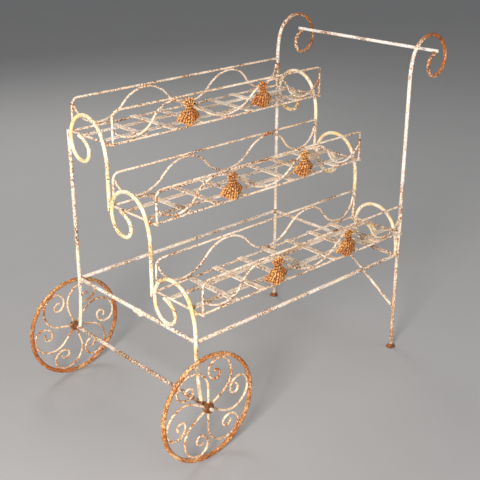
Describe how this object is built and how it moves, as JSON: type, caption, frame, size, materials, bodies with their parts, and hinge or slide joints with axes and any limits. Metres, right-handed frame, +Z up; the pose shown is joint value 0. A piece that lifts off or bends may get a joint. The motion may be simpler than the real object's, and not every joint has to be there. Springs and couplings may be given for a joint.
{
  "type": "plant trolley",
  "caption": "Stepped wrought-iron plant trolley: wire-railed trays on a rod frame, two scroll-spoked wheels at one end and a crook handle over footed legs at the other.",
  "frame": {"origin": "centre of the footprint, on the ground", "axes": "+X from the wheels to the handle, +Y from the low front tray to the high back tray, +Z up"},
  "size_m": [1.0686, 0.605, 0.9304],
  "materials": {
    "axle_steel": "worn grey-white paint with rust",
    "hub_iron": "dark rust",
    "wheel_paint": "orange-brown rust with cream paint remains",
    "spoke_paint": "chipped cream paint with rust",
    "foot_iron": "dark rust",
    "casting_iron": "orange rust with cream paint remains",
    "tray_paint": "cream paint speckled with rust",
    "scroll_paint": "yellowed cream paint with chips",
    "handle_paint": "chipped off-white paint, rusty at the crook",
    "frame_paint": "chipped off-white paint with rust"
  },
  "bodies": {
    "frame": {"axle": "axle_steel", "stop_collars": "hub_iron", "axle_washers": "hub_iron", "split_pins": "hub_iron", "left_bottom_scroll": "scroll_paint", "left_middle_scroll": "scroll_paint", "left_top_scroll": "scroll_paint", "right_bottom_scroll": "scroll_paint", "right_middle_scroll": "scroll_paint", "right_top_scroll": "scroll_paint", "back_left_post": "frame_paint", "front_handle_post": "handle_paint", "back_handle_post": "handle_paint", "grip_bar": "frame_paint", "base_front_bar": "frame_paint", "base_back_bar": "frame_paint", "base_left_bar": "frame_paint", "base_right_bar": "frame_paint", "front_brace": "frame_paint", "back_brace": "frame_paint", "front_foot": "foot_iron", "back_foot": "foot_iron", "bottom_tray_end_bars": "tray_paint", "bottom_tray_long_bars": "tray_paint", "bottom_tray_cross_bars": "tray_paint", "bottom_tray_front_rail": "tray_paint", "bottom_tray_back_rail": "tray_paint", "bottom_tray_waves": "tray_paint", "bottom_tray_castings": "casting_iron", "middle_tray_end_bars": "tray_paint", "middle_tray_long_bars": "tray_paint", "middle_tray_cross_bars": "tray_paint", "middle_tray_front_rail": "tray_paint", "middle_tray_back_rail": "tray_paint", "middle_tray_waves": "tray_paint", "middle_tray_castings": "casting_iron", "top_tray_end_bars": "tray_paint", "top_tray_long_bars": "tray_paint", "top_tray_cross_bars": "tray_paint", "top_tray_front_rail": "tray_paint", "top_tray_back_rail": "tray_paint", "top_tray_waves": "tray_paint", "top_tray_castings": "casting_iron"},
    "front_wheel": {"front_wheel_rim": "wheel_paint", "front_wheel_hub": "hub_iron", "front_wheel_spoke_1": "spoke_paint", "front_wheel_spoke_2": "spoke_paint", "front_wheel_spoke_3": "spoke_paint", "front_wheel_spoke_4": "spoke_paint", "front_wheel_spoke_5": "spoke_paint", "front_wheel_spoke_6": "spoke_paint"},
    "back_wheel": {"back_wheel_rim": "wheel_paint", "back_wheel_hub": "hub_iron", "back_wheel_spoke_1": "spoke_paint", "back_wheel_spoke_2": "spoke_paint", "back_wheel_spoke_3": "spoke_paint", "back_wheel_spoke_4": "spoke_paint", "back_wheel_spoke_5": "spoke_paint", "back_wheel_spoke_6": "spoke_paint"}
  },
  "joints": [
    {"name": "front_wheel_spin", "type": "hinge", "parent": "frame", "child": "front_wheel", "pos_m": [-0.39031, -0.2865, 0.144], "axis": [0, 1, 0], "continuous": true},
    {"name": "back_wheel_spin", "type": "hinge", "parent": "frame", "child": "back_wheel", "pos_m": [-0.39031, 0.2865, 0.144], "axis": [0, 1, 0], "continuous": true}
  ]
}
